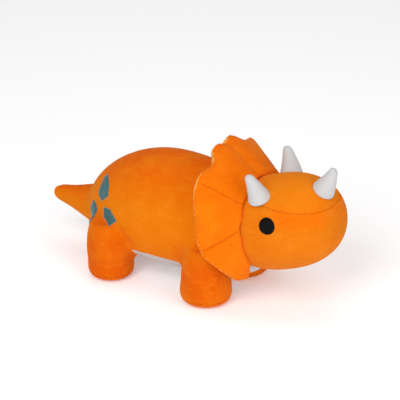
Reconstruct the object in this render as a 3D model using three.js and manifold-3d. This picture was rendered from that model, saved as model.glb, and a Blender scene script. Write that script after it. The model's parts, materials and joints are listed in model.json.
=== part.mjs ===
// Stuffed three-horned dinosaur: a plush toy sewn from pile fabric over fibre stuffing.
// Millimetres, +Z up, +X towards the nose, +Y to the toy's left, the floor at z = 0.
import * as THREE from "three";
import { mergeVertices } from "three/addons/utils/BufferGeometryUtils.js";
import Module from "manifold-3d";

const wasm = await Module();
wasm.setup();

// ---- Fabric and clearances ----
const FABRIC = 1.6; // pile fabric with its backing
const GAP = 0.4; // between pieces that touch
const FLEX_GAP = 1.0; // round a root that flexes

// ---- Torso: one long blob, fuller at the chest, lower at the rump and the throat ----
const TORSO = {
  front: 75,
  length: 184,
  width: 101,
  height: 111,
  belly: 11, // the belly's height above the floor
  rumpDrop: 11, // how far the rump's centre lies below the middle's
  chestDrop: 8,
  rumpPower: 2.0, // 2 is an ellipse, and more is blunter
  chestPower: 2.5,
};
const RUMP = TORSO.front - TORSO.length; // where the torso's back end lies, which the tail and haunches go by
const BELLY_SEAM = 128; // degrees from the spine to the white panel's edge

// ---- Head: an egg that points up a little ----
const HEAD = {
  x: 95,
  z: 81,
  length: 118,
  width: 93,
  height: 89,
  power: 2.4,
  pitch: 20, // degrees nose up
  back: 64, // the head's stuffing ends in a flat here, inside the frill
  sweepRoom: 7, // how far the head's skin moves at most
};
const CROWN_SEAM = 109.5; // the gusset over the crown ends level, at this height
const CHIN_SEAM = 37; // how far under the head's axis the chin panel starts

// ---- Neck: a plug of stuffing that the head nods and turns on ----
const NECK = { x: 56, z: 76, radius: 25, up: 9 }; // up is how many degrees the nose can rise

// ---- Frill: a flaring collar of six padded panels with one lining ----
const FRILL = {
  pad: 3.6,
  puff: 1.4,
  lining: 1.6,
  rootMiddle: -25.5, // along the head's axis from its centre
  rootLean: 9.5,
  columns: 4,
  ribEvery: 11,
};
// half of the rim, from the middle of the top: degrees round the head at the root, then the rim's place
const RIM = [
  { root: 0, at: [29, 0, 146], ray: true },
  { root: 7, at: [29.5, 7, 144.5] },
  { root: 22, at: [34, 23.5, 134.5] },
  { root: 40, at: [30.5, 44.5, 127] },
  { root: 46, at: [30, 50, 124], ray: true },
  { root: 51, at: [31, 53, 116] },
  { root: 60, at: [34.5, 55.5, 95] },
  { root: 67, at: [39, 60, 73] },
  { root: 72, at: [41.5, 61, 65], ray: true },
  { root: 79, at: [45, 60.5, 59.5] },
  { root: 100, at: [59, 56.5, 49] },
  { root: 118, at: [67.5, 42, 34.5] },
  { root: 128, at: [71.5, 29, 32], ray: true },
];

// ---- Legs ----
const LEG = { root: 21.5, sole: 5, soleInset: 4.5 };
const FRONT_LEG = { x: 33, y: 34, hip: 45, foot: 23.5, swing: 10 };
const REAR_LEG = { x: RUMP + 41.5, y: 34, hip: 44, foot: 21, swing: 12 };

// ---- Tail ----
const TAIL = { x: RUMP + 16, z: 52, root: 17.5, reach: 55, tip: 5.2, tipHeight: 50, mouth: 4 };

// ---- Horns and eyes ----
const HORN = { base: 10.5, tip: 4, length: 27 };
const BROW_HORN = { x: 85, y: 29, lean: [-0.25, 0.25, 0.93] };
const NOSE_HORN = { x: 135, y: 0, lean: [0.51, 0, 0.86] };
const EYE = { x: 102.5, z: 95.5, size: 14.5, dome: 1.6 };

// ---- Spots, as [distance from the rump, z] corners seen from the side ----
const SPOT_THICK = 1.0;
const SPOTS = {
  upper: [[29.5, 91], [34, 93.5], [40.5, 88], [42, 80], [34.5, 73], [27.5, 77]],
  rear: [[21, 68], [26.5, 66.5], [28.5, 63], [26.5, 52], [18, 43], [16, 48.5], [16.5, 59.5]],
  lower: [[40.5, 66], [47.5, 69], [54.5, 61.5], [48.5, 54.5], [39.5, 56.5]],
};

const BOX_MIDDLE = 2.9; // the whole toy's middle along X, which becomes the origin
const COLOUR = { orange: 0xe8761a, white: 0xe6e2de, teal: 0x4f7e80, black: 0x0e0c0d, fibre: 0xf1efe9 };

// ================= shared geometry =================
const rad = THREE.MathUtils.degToRad;
const lerp = THREE.MathUtils.lerp;
const v3 = (x, y, z) => new THREE.Vector3(x, y, z);
const group = new THREE.Group();

/** A closed mesh made into a solid that can be joined and cut, with its faces turned outwards. */
function solid(geometry) {
  const bare = geometry.clone();
  bare.deleteAttribute("normal");
  bare.deleteAttribute("uv");
  const merged = mergeVertices(bare, 1e-4);
  const vertProperties = new Float32Array(merged.attributes.position.array);
  const triVerts = new Uint32Array(merged.index.array);
  const made = new wasm.Manifold(new wasm.Mesh({ numProp: 3, vertProperties, triVerts }));
  if (made.volume() > 0) return made;
  for (let k = 0; k < triVerts.length; k += 3) {
    [triVerts[k + 1], triVerts[k + 2]] = [triVerts[k + 2], triVerts[k + 1]];
  }
  return new wasm.Manifold(new wasm.Mesh({ numProp: 3, vertProperties, triVerts }));
}

/** Names a solid and puts it in the scene, without the scraps that a cut leaves beside it. */
function add(name, piece, colour, roughness = 0.95) {
  const bySize = piece.decompose().sort((a, b) => b.volume() - a.volume());
  const made = bySize[0].getMesh();
  const positions = new Float32Array(made.numVert * 3);
  for (let i = 0; i < made.numVert; i++) {
    positions.set(made.vertProperties.subarray(i * made.numProp, i * made.numProp + 3), i * 3);
  }
  const geometry = new THREE.BufferGeometry();
  geometry.setAttribute("position", new THREE.BufferAttribute(positions, 3));
  geometry.setIndex(new THREE.BufferAttribute(new Uint32Array(made.triVerts), 1));
  geometry.computeVertexNormals();
  const mesh = new THREE.Mesh(geometry, new THREE.MeshStandardMaterial({ color: colour, roughness }));
  mesh.name = name;
  group.add(mesh);
}

/** A closed skin over rings of points, with a fan on each end. */
function skinOver(rings, startPoint, endPoint) {
  const n = rings[0].length;
  const last = rings.length - 1;
  const points = [startPoint, ...rings.flat(), endPoint];
  const at = (i, j) => 1 + i * n + (j % n);
  const index = [];
  for (let j = 0; j < n; j++) {
    index.push(0, at(0, j + 1), at(0, j));
    for (let i = 0; i < last; i++) {
      index.push(at(i, j), at(i, j + 1), at(i + 1, j));
      index.push(at(i, j + 1), at(i + 1, j + 1), at(i + 1, j));
    }
    index.push(points.length - 1, at(last, j), at(last, j + 1));
  }
  const geometry = new THREE.BufferGeometry().setFromPoints(points);
  geometry.setIndex(index);
  return solid(geometry);
}

/** The whole surface of a blob described by pointAt(share along it, angle round it, offset). */
function blob(pointAt, offset, stations = 14, around = 24) {
  const rings = [];
  for (let i = 1; i < stations; i++) {
    const t = -Math.cos((Math.PI * i) / stations);
    const ring = [];
    for (let j = 0; j < around; j++) ring.push(pointAt(t, (2 * Math.PI * j) / around, offset));
    rings.push(ring);
  }
  return skinOver(rings, pointAt(-1, 0, offset), pointAt(1, 0, offset));
}

/** A piece turned so that its Z axis points along a direction, then moved to a place. */
function aimed(piece, direction, place) {
  const turn = new THREE.Quaternion().setFromUnitVectors(v3(0, 0, 1), direction);
  const euler = new THREE.Euler().setFromQuaternion(turn, "ZYX");
  const angles = [euler.x, euler.y, euler.z].map(THREE.MathUtils.radToDeg);
  return piece.rotate(angles).translate([place.x, place.y, place.z]);
}

/** A box from one corner to the other. */
function block(low, high) {
  const size = high.map((value, k) => value - low[k]);
  return solid(new THREE.BoxGeometry(...size)).translate(high.map((value, k) => (value + low[k]) / 2));
}

function ball(centre, radius, detail = 16) {
  const round = solid(new THREE.SphereGeometry(radius, detail, detail / 2));
  return round.translate([centre.x, centre.y, centre.z]);
}

/** A solid turned on the Z axis from [radius, height] pairs that start and end on the axis. */
function lathed(profile, around = 20) {
  const points = profile.map(([r, z]) => new THREE.Vector2(r, z));
  return solid(new THREE.LatheGeometry(points, around).rotateX(Math.PI / 2));
}

/** A wedge round the X axis line through (centreY, centreZ), between two angles from the top. */
function wedge(from, to, centreY, centreZ, low, high) {
  const reach = 200;
  const steps = 8;
  const shape = new THREE.Shape().moveTo(0, 0);
  for (let i = 0; i <= steps; i++) {
    const angle = rad(lerp(from, to, i / steps));
    shape.lineTo(reach * Math.sin(angle), reach * Math.cos(angle));
  }
  shape.closePath();
  const bar = new THREE.ExtrudeGeometry(shape, { depth: high - low, bevelEnabled: false });
  // the shape's x and y become Y and Z, and its depth runs along X
  bar.applyMatrix4(new THREE.Matrix4().makeBasis(v3(0, 1, 0), v3(0, 0, 1), v3(1, 0, 0)));
  return solid(bar.translate(low, centreY, centreZ));
}

const superEllipse = (t, power) => Math.pow(Math.max(0, 1 - Math.pow(Math.abs(t), power)), 1 / power);

// ================= the main shapes =================
/** A point of the torso at share t along it, from -1 at the rump to 1 at the throat. */
function torsoPoint(t, angle, offset) {
  const half = TORSO.length / 2;
  const r = superEllipse(t, t < 0 ? TORSO.rumpPower : TORSO.chestPower);
  const drop = (t < 0 ? TORSO.rumpDrop : TORSO.chestDrop) * t * t;
  return v3(
    TORSO.front - half + (half + offset) * t,
    (TORSO.width / 2 + offset) * r * Math.sin(angle),
    TORSO.belly + TORSO.height / 2 - drop + (TORSO.height / 2 + offset) * r * Math.cos(angle),
  );
}

/** The head's own directions: along it, to its left and up. */
const headAlong = v3(Math.cos(rad(HEAD.pitch)), 0, Math.sin(rad(HEAD.pitch)));
const headUp = v3(-Math.sin(rad(HEAD.pitch)), 0, Math.cos(rad(HEAD.pitch)));

/** A place given along the head's axis, to its left and up from its centre. */
function inHead(along, left, up) {
  const place = v3(HEAD.x, left, HEAD.z);
  return place.addScaledVector(headAlong, along).addScaledVector(headUp, up);
}

function headPoint(t, angle, offset) {
  const r = superEllipse(t, HEAD.power);
  return inHead(
    (HEAD.length / 2 + offset) * t,
    (HEAD.width / 2 + offset) * r * Math.sin(angle),
    (HEAD.height / 2 + offset) * r * Math.cos(angle),
  );
}

const neckPivot = v3(NECK.x, 0, NECK.z);

/** Everything in front of the flat that the stuffed head ends in. */
const headRoom = block([HEAD.back, -200, -200], [300, 200, 300]);
const headSkinSolid = blob(headPoint, 0).intersect(headRoom);

/** Points of a quarter circle in [radius, height] pairs, from the top down to its widest. */
const dome = (radius, centre) =>
  [75, 60, 45, 30, 15, 0].map((a) => [radius * Math.cos(rad(a)), centre + radius * Math.sin(rad(a))]);

/** A room that widens away from a pivot at the origin: a ball, and below it a cone of the swing's slope. */
function flaredRoom(radius, swing, reach) {
  const mouth = [radius + reach * Math.tan(rad(swing)), -reach];
  return lathed([[0, radius], ...dome(radius, 0), mouth, [0, -reach]]);
}

/** The space that the head's flat back needs as it nods and turns, for cutting the torso back. */
function headSweep() {
  const back = HEAD.back - FLEX_GAP;
  const reach = HEAD.height;
  const lean = reach * Math.tan(rad(NECK.up));
  const cone = lathed([[0, back], [reach, back - lean], [reach, HEAD.x], [0, HEAD.x]], 16);
  const nearHead = blob(headPoint, HEAD.sweepRoom, 8, 16);
  return cone.rotate([0, 90, 0]).translate([0, 0, NECK.z]).intersect(nearHead);
}

// ================= legs =================
/** A leg's solid: a rounded foot, a plump shank and a round top at its root in the body. */
function legSolid(leg, side, offset) {
  const root = LEG.root + offset;
  const foot = leg.foot + offset;
  const profile = [
    [0, -offset],
    [foot - LEG.soleInset, -offset],
    [foot - LEG.soleInset * 0.3, LEG.sole * 0.4 - offset],
    [foot, LEG.sole + 3],
    [lerp(foot, root, 0.35), leg.hip * 0.55],
    ...dome(root, leg.hip).reverse(),
    [0, leg.hip + root],
  ];
  return lathed(profile).translate([leg.x, side * leg.y, 0]);
}

const legs = [];
for (const [name, leg] of [["front", FRONT_LEG], ["rear", REAR_LEG]]) {
  for (const [hand, side] of [["right", -1], ["left", 1]]) {
    legs.push({ name: `${name}_${hand}`, leg, side, pivot: v3(leg.x, side * leg.y, leg.hip) });
  }
}

function addLeg({ name, leg, side }) {
  const outside = legSolid(leg, side, 0);
  const underFoot = block([-300, -300, -50], [300, 300, LEG.sole]);
  const aboveFoot = block([-300, -300, LEG.sole + GAP], [300, 300, 300]);
  const inside = legSolid(leg, side, -FABRIC);
  add(`${name}_leg_sleeve`, outside.intersect(aboveFoot).subtract(inside), COLOUR.orange);
  add(`${name}_sole`, outside.intersect(underFoot).subtract(inside), COLOUR.orange);
  add(`${name}_leg_stuffing`, legSolid(leg, side, -FABRIC - GAP), COLOUR.fibre);
}

// ================= tail =================
/** A tail's solid: a ball at the root that tapers to a blunt, round tip. */
function tailSolid(offset) {
  const reach = TAIL.reach;
  const root = TAIL.root + offset;
  const tip = TAIL.tip + offset;
  const profile = [[0, -root], ...dome(root, 0).map(([r, z]) => [r, -z])];
  const tipCentre = reach - TAIL.tip;
  for (const share of [0.3, 0.6, 1]) {
    profile.push([lerp(root, tip, Math.pow(share, 0.85)), tipCentre * share]);
  }
  for (const degrees of [35, 65]) {
    profile.push([tip * Math.cos(rad(degrees)), tipCentre + tip * Math.sin(rad(degrees))]);
  }
  profile.push([0, tipCentre + tip]);
  const droop = THREE.MathUtils.radToDeg(Math.atan2(TAIL.z - TAIL.tipHeight, reach));
  return lathed(profile).rotate([0, -90 - droop, 0]).translate([TAIL.x, 0, TAIL.z]);
}

// ================= torso =================
function torsoRoom() {
  let room = ball(neckPivot, NECK.radius + FLEX_GAP).add(headSweep());
  for (const { leg, pivot } of legs) {
    const radius = Math.max(LEG.root, leg.foot) + FLEX_GAP;
    room = room.add(flaredRoom(radius, leg.swing, leg.hip).translate([pivot.x, pivot.y, pivot.z]));
  }
  const tailRoom = flaredRoom(TAIL.root + FLEX_GAP, TAIL.mouth, TAIL.root * 2).rotate([0, 90, 0]);
  return room.add(tailRoom.translate([TAIL.x, 0, TAIL.z]));
}

function addTorso() {
  const room = torsoRoom();
  const middle = TORSO.belly + TORSO.height / 2;
  const shell = blob(torsoPoint, 0).subtract(blob(torsoPoint, -FABRIC)).subtract(room);
  const seam = GAP / 2;
  const sidePanel = wedge(0, BELLY_SEAM, 0, middle, -200, 200);
  const rightHalf = block([-200, -200, -200], [200, -seam, 300]);
  const bellyPanel = wedge(BELLY_SEAM, 360 - BELLY_SEAM, 0, middle - GAP * 2, -200, 200);
  const leftHalf = rightHalf.mirror([0, 1, 0]);
  add("right_side_panel", shell.intersect(sidePanel.mirror([0, 1, 0])).intersect(rightHalf), COLOUR.orange);
  add("left_side_panel", shell.intersect(sidePanel).intersect(leftHalf), COLOUR.orange);
  add("belly_panel", shell.intersect(bellyPanel), COLOUR.white);
  add("torso_stuffing", blob(torsoPoint, -FABRIC - GAP).subtract(room), COLOUR.fibre);
  addSpots(room);
}

/** The thin patches sewn on each flank. */
function addSpots(room) {
  const under = blob(torsoPoint, GAP);
  const over = blob(torsoPoint, GAP + SPOT_THICK);
  const layer = over.subtract(under).subtract(room);
  for (const [name, corners] of Object.entries(SPOTS)) {
    const outline = new THREE.Shape(corners.map(([x, z]) => new THREE.Vector2(RUMP + x, z)));
    const bar = new THREE.ExtrudeGeometry(outline, { depth: TORSO.width, bevelEnabled: false });
    const through = solid(bar.rotateX(Math.PI / 2));
    const right = layer.intersect(through);
    add(`${name}_spot_right`, right, COLOUR.teal);
    add(`${name}_spot_left`, right.mirror([0, 1, 0]), COLOUR.teal);
  }
}

// ================= frill =================
/** The frill's root on the head at an angle round it from the top. */
function frillRoot(degrees) {
  const angle = rad(degrees);
  const t = (FRILL.rootMiddle + FRILL.rootLean * Math.cos(angle)) / (HEAD.length / 2);
  return headPoint(t, angle, 0);
}

/** One rib of the frill: a row of points from its root on the head to its rim. */
function rib(from, to, share) {
  const root = frillRoot(lerp(from.root, to.root, share));
  const rim = v3(...from.at).lerp(v3(...to.at), share);
  const points = [];
  for (let j = 0; j <= FRILL.columns; j++) points.push(root.clone().lerp(rim, j / FRILL.columns));
  return { points, ray: share === 0 && Boolean(from.ray) };
}

/** Every rib from the frill's right end over the top to its left end. */
function allRibs() {
  const left = [];
  for (let i = 0; i + 1 < RIM.length; i++) {
    const span = v3(...RIM[i].at).distanceTo(v3(...RIM[i + 1].at));
    const steps = Math.max(1, Math.round(span / FRILL.ribEvery));
    for (let k = 0; k < steps; k++) left.push(rib(RIM[i], RIM[i + 1], k / steps));
  }
  left.push(rib(RIM.at(-1), RIM.at(-1), 0));
  const mirrored = left.slice(1).reverse().map(({ points, ray }) => {
    return { points: points.map((p) => v3(p.x, -p.y, p.z)), ray };
  });
  return [...mirrored, ...left];
}

/** The frill's own direction at one point of its ribs, towards the nose. */
function frillNormal(ribs, i, j) {
  const before = ribs[Math.max(i - 1, 0)].points[j];
  const after = ribs[Math.min(i + 1, ribs.length - 1)].points[j];
  const inner = ribs[i].points[Math.max(j - 1, 0)];
  const outer = ribs[i].points[Math.min(j + 1, FRILL.columns)];
  return after.clone().sub(before).cross(outer.clone().sub(inner)).normalize();
}

/** A sheet of the frill over ribs from..to, between two offsets off its middle surface. */
function frillSheet(ribs, from, to, near, far, puff, inset) {
  const loops = [];
  for (let i = from; i <= to; i++) {
    const neighbour = i === from ? from + 1 : i === to ? to - 1 : i;
    const row = ribs[i].points.map((point, j) => {
      const other = ribs[neighbour].points[j];
      const reach = Math.max(point.distanceTo(other), inset);
      return neighbour === i ? point : point.clone().lerp(other, inset / reach);
    });
    const across = Math.sin((Math.PI * (i - from)) / (to - from));
    const swell = (j) => puff * across * Math.sin((Math.PI * j) / FRILL.columns);
    const front = row.map((p, j) => p.clone().addScaledVector(frillNormal(ribs, i, j), far + swell(j)));
    const back = row.map((p, j) => p.clone().addScaledVector(frillNormal(ribs, i, j), near));
    loops.push([...front, ...back.reverse()]);
  }
  const centre = (loop) => loop.reduce((sum, p) => sum.add(p), v3(0, 0, 0)).divideScalar(loop.length);
  return skinOver(loops, centre(loops[0]), centre(loops.at(-1)));
}

function addFrill(outsideHead) {
  const ribs = allRibs();
  const rays = ribs.map((one, i) => (one.ray ? i : -1)).filter((i) => i >= 0);
  const names = ["lower_right", "middle_right", "upper_right", "upper_left", "middle_left", "lower_left"];
  names.forEach((name, k) => {
    const panel = frillSheet(ribs, rays[k], rays[k + 1], 0, FRILL.pad, FRILL.puff, GAP / 2);
    add(`frill_${name}`, panel.subtract(outsideHead), COLOUR.orange);
  });
  const lining = frillSheet(ribs, 0, ribs.length - 1, -GAP - FRILL.lining, -GAP, 0, 0);
  add("frill_lining", lining.subtract(outsideHead), COLOUR.orange);
}

// ================= horns and eyes =================
/** A horn's solid on the Z axis, with its root ball round the origin. */
function hornProfile() {
  const { base, tip } = HORN;
  const tipCentre = HORN.length - HORN.tip;
  const profile = [[0, -base]];
  for (const degrees of [-60, -30, 0]) {
    profile.push([base * Math.cos(rad(degrees)), base * Math.sin(rad(degrees))]);
  }
  profile.push([lerp(base, tip, 0.45), tipCentre * 0.5]);
  for (const degrees of [10, 45]) {
    profile.push([tip * Math.cos(rad(degrees)), tipCentre + tip * Math.sin(rad(degrees))]);
  }
  profile.push([0, tipCentre + tip]);
  return profile;
}

/** How far up the head's middle surface lies over a place given along and to the left of its axis. */
function hornPivot(horn, side) {
  // the pivot is the place on the head's surface that has the horn's X and Y
  let low = HEAD.z;
  let high = HEAD.z + HEAD.height;
  for (let i = 0; i < 30; i++) {
    const z = (low + high) / 2;
    const local = v3(horn.x, side * horn.y, z).sub(inHead(0, 0, 0));
    const along = local.dot(headAlong) / (HEAD.length / 2);
    const r = superEllipse(Math.min(Math.abs(along), 1), HEAD.power);
    const out = Math.hypot(local.y / (HEAD.width / 2), local.dot(headUp) / (HEAD.height / 2));
    if (Math.abs(along) < 1 && out < r) low = z;
    else high = z;
  }
  return v3(horn.x, side * horn.y, low);
}

const horns = [
  { name: "right_brow_horn", place: BROW_HORN, side: -1 },
  { name: "left_brow_horn", place: BROW_HORN, side: 1 },
  { name: "nose_horn", place: NOSE_HORN, side: 1 },
].map((horn) => ({ ...horn, pivot: hornPivot(horn.place, horn.side) }));

function hornSolid({ place, side, pivot }) {
  const lean = v3(place.lean[0], side * place.lean[1], place.lean[2]).normalize();
  return aimed(lathed(hornProfile(), 16), lean, pivot);
}

/** The hollow that a horn's root sits in. */
const hornRoom = (horn) => ball(horn.pivot, HORN.base + FLEX_GAP);

/** An eye: a shallow dome that faces straight out of the cheek. */
function addEye(name, side, cheek) {
  const lens = solid(new THREE.SphereGeometry(1, 24, 12).scale(EYE.size / 2, EYE.size / 2, EYE.dome));
  const local = v3(EYE.x, 0, EYE.z).sub(inHead(0, 0, 0));
  const along = local.dot(headAlong) / (HEAD.length / 2);
  const up = local.dot(headUp) / (HEAD.height / 2);
  const r = superEllipse(along, HEAD.power);
  const left = Math.sqrt(r * r - up * up);
  const place = inHead(local.dot(headAlong), (side * HEAD.width * left) / 2, local.dot(headUp));
  const steepness = Math.pow(Math.abs(along), HEAD.power - 1) * Math.pow(r, 2 - HEAD.power);
  const slope = Math.sign(along) * steepness;
  const normal = v3(0, (side * left * 2) / HEAD.width, 0);
  normal.addScaledVector(headAlong, (slope * 2) / HEAD.length).addScaledVector(headUp, (up * 2) / HEAD.height);
  add(name, aimed(lens, normal.normalize(), place).subtract(cheek), COLOUR.black, 0.35);
}

// ================= head =================
function addHead() {
  let room = ball(neckPivot, NECK.radius + FLEX_GAP);
  for (const horn of horns) room = room.add(hornRoom(horn));
  const inner = blob(headPoint, -FABRIC);
  const shell = headSkinSolid.subtract(inner).subtract(room);
  const seam = GAP / 2;
  const above = (height) => block([-200, -200, height], [300, 200, 300]);
  const chin = block([-200, -200, -200], [200, 200, -CHIN_SEAM - seam]);
  const overChin = block([-200, -200, -CHIN_SEAM + seam], [200, 200, 200]);
  const withHead = (piece) => piece.rotate([0, -HEAD.pitch, 0]).translate([HEAD.x, 0, HEAD.z]);
  const underCrown = shell.subtract(above(CROWN_SEAM - seam));
  const leftHalf = block([-200, seam, -200], [300, 200, 300]);
  const cheek = underCrown.intersect(withHead(overChin)).intersect(leftHalf);
  add("crown_gusset", shell.intersect(above(CROWN_SEAM + seam)), COLOUR.orange);
  add("right_cheek_panel", cheek.mirror([0, 1, 0]), COLOUR.orange);
  add("left_cheek_panel", cheek, COLOUR.orange);
  add("chin_panel", underCrown.intersect(withHead(chin)), COLOUR.orange);
  add("head_stuffing", blob(headPoint, -FABRIC - GAP).intersect(headRoom).subtract(room), COLOUR.fibre);
  for (const horn of horns) add(horn.name, hornSolid(horn), COLOUR.white);
  const outsideHead = blob(headPoint, GAP);
  addEye("right_eye", -1, outsideHead);
  addEye("left_eye", 1, outsideHead);
  addFrill(outsideHead);
}

addTorso();
for (const leg of legs) addLeg(leg);
const tailTip = block([-300, -100, -100], [TAIL.x, 100, 200]);
add("tail_skin", tailSolid(0).subtract(tailSolid(-FABRIC)).intersect(tailTip), COLOUR.orange);
add("tail_stuffing", tailSolid(-FABRIC - GAP), COLOUR.fibre);
add("neck_stuffing", ball(neckPivot, NECK.radius), COLOUR.fibre);
addHead();
group.position.x = -BOX_MIDDLE;

export default group;
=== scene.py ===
import json
import logging
import math
from dataclasses import dataclass, field
from enum import Enum
from typing import Callable, Sequence

import bmesh
import bpy
import numpy as np
from mathutils import Matrix, Vector
from mathutils.bvhtree import BVHTree

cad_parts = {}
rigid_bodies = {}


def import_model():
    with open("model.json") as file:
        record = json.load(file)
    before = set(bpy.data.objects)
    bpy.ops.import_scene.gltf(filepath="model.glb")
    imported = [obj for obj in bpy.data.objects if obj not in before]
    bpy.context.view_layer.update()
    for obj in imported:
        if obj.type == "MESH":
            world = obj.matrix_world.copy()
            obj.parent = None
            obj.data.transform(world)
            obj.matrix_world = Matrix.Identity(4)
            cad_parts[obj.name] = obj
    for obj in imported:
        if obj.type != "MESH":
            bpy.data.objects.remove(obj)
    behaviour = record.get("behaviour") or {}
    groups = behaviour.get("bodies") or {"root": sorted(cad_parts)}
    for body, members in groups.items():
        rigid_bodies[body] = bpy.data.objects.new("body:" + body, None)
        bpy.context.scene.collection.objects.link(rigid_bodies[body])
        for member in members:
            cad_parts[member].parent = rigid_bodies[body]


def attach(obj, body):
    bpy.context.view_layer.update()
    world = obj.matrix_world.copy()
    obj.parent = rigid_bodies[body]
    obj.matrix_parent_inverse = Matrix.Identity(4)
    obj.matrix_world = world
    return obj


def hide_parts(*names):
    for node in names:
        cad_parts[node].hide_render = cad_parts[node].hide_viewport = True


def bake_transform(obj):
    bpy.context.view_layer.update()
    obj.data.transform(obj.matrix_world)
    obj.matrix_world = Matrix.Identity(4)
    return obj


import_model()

LOG = logging.getLogger("dinosaur")
MM = 0.001
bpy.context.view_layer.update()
FABRIC = 1.2 * MM  # how thick the pile fabric is
STUFFING_FRAMES = 20  # how long the fibre presses on a skin


class Side(Enum):
    """The toy's two hands, as the sign of Y."""

    RIGHT = -1
    LEFT = 1


class Voxel(Enum):
    """How finely a soft piece is remeshed, in metres."""

    COVER = 3.0 * MM
    FRILL = 1.3 * MM


# ---------------------------------------------------------------- mesh helpers
def deselect_all() -> None:
    """Leaves edit mode and selects nothing, because an operator acts on all that is selected."""
    if bpy.context.object and bpy.context.object.mode != "OBJECT":
        bpy.ops.object.mode_set(mode="OBJECT")
    bpy.ops.object.select_all(action="DESELECT")


def activate(piece: bpy.types.Object) -> None:
    """Makes a piece the only selected and active object.

    Args:
        piece: The piece.
    """
    deselect_all()
    piece.select_set(True)
    bpy.context.view_layer.objects.active = piece


def normals_of(piece: bpy.types.Object) -> np.ndarray:
    """A mesh's normals at its points as an array of rows.

    Args:
        piece: The mesh.

    Returns:
        One row for each point.
    """
    flat = np.empty(len(piece.data.vertices) * 3)
    piece.data.vertices.foreach_get("normal", flat)
    return flat.reshape(-1, 3)


def mark_points(piece: bpy.types.Object, name: str, values: np.ndarray) -> None:
    """Keeps a number for each point, which materials and later steps read by its name."""
    marks = piece.data.attributes.new(name, "FLOAT", "POINT")
    marks.data.foreach_set("value", values)


def turn_out(piece: bpy.types.Object) -> None:
    """Turns every face of a closed piece outwards.

    Args:
        piece: The piece.
    """
    activate(piece)
    bpy.ops.object.mode_set(mode="EDIT")
    bpy.ops.mesh.select_all(action="SELECT")
    bpy.ops.mesh.normals_make_consistent(inside=False)
    bpy.ops.object.mode_set(mode="OBJECT")


def settle(piece: bpy.types.Object) -> None:
    """Applies a piece's place, turn and scale to its mesh."""
    activate(piece)
    bpy.ops.object.transform_apply(location=True, rotation=True, scale=True)


def join(pieces: Sequence[bpy.types.Object], name: str) -> bpy.types.Object:
    """Joins several meshes into one object.

    Args:
        pieces: The objects to join; the first takes in the others.
        name: The joined object's name.

    Returns:
        The joined object.
    """
    deselect_all()
    for piece in pieces:
        piece.select_set(True)
    bpy.context.view_layer.objects.active = pieces[0]
    bpy.ops.object.join()
    pieces[0].name = name
    return pieces[0]


def apply_modifier(piece: bpy.types.Object, kind: str, **settings: object) -> None:
    """Adds a modifier with its settings and applies it at once.

    Args:
        piece: The object to change.
        kind: Blender's name for the modifier type.
        settings: The modifier's own settings.
    """
    activate(piece)
    modifier = piece.modifiers.new(kind.title(), kind)
    for key, value in settings.items():
        setattr(modifier, key, value)
    bpy.ops.object.modifier_apply(modifier=modifier.name)


def remesh(piece: bpy.types.Object, voxel: Voxel, smoothing: int) -> None:
    """Makes overlapping closed shapes one even skin and smooths the steps away.

    Args:
        piece: The object to remesh.
        voxel: The size of the remesh's cells.
        smoothing: How many times the skin is smoothed.
    """
    apply_modifier(piece, "REMESH", mode="VOXEL", voxel_size=voxel.value)
    apply_modifier(piece, "SMOOTH", factor=0.5, iterations=smoothing)


def coordinates(piece: bpy.types.Object) -> np.ndarray:
    """A mesh's points as an array of rows.

    Args:
        piece: The mesh.

    Returns:
        One row for each point.
    """
    flat = np.empty(len(piece.data.vertices) * 3)
    piece.data.vertices.foreach_get("co", flat)
    return flat.reshape(-1, 3)


def place_points(piece: bpy.types.Object, points: np.ndarray) -> None:
    """Writes a mesh's points back from an array of rows."""
    piece.data.vertices.foreach_set("co", points.ravel())
    piece.data.update()


def inflate(piece: bpy.types.Object, pressure: float, cap: float) -> None:
    """Lets the fibre inside press the skin out as cloth, and keeps the result in the mesh.

    Args:
        piece: A closed mesh, slightly smaller than the stuffed piece.
        pressure: The pressure of the stuffing.
        cap: The furthest that a point may move, in metres.
    """
    activate(piece)
    start = coordinates(piece)
    cloth = piece.modifiers.new("Cloth", "CLOTH")
    fabric = cloth.settings
    fabric.quality = 5
    fabric.mass = 0.25
    fabric.tension_stiffness = 18
    fabric.compression_stiffness = 14
    fabric.shear_stiffness = 6
    fabric.bending_stiffness = 0.35
    fabric.use_pressure = True
    fabric.uniform_pressure_force = pressure
    fabric.effector_weights.gravity = 0
    cloth.point_cache.frame_start = 1
    cloth.point_cache.frame_end = STUFFING_FRAMES
    for step in range(1, STUFFING_FRAMES + 1):
        bpy.context.scene.frame_set(step)
    shaped = piece.evaluated_get(bpy.context.evaluated_depsgraph_get())
    end = np.empty(len(start) * 3)
    shaped.data.vertices.foreach_get("co", end)
    piece.modifiers.remove(cloth)
    bpy.context.scene.frame_set(1)
    move = end.reshape(-1, 3) - start
    length = np.linalg.norm(move, axis=1, keepdims=True)
    place_points(piece, start + move * np.minimum(1, cap / np.maximum(length, 1e-9)))


def select_faces(piece: bpy.types.Object, inside: Callable[[Vector], bool]) -> None:
    """Opens a piece in edit mode with only some of its faces selected.

    Args:
        piece: The piece.
        inside: Says whether a face's middle belongs to the selection.
    """
    activate(piece)
    bpy.ops.object.mode_set(mode="EDIT")
    bpy.ops.mesh.select_mode(type="FACE")
    bpy.ops.mesh.select_all(action="DESELECT")
    mesh = bmesh.from_edit_mesh(piece.data)
    for face in mesh.faces:
        face.select = inside(face.calc_center_median())
    bmesh.update_edit_mesh(piece.data)


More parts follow.
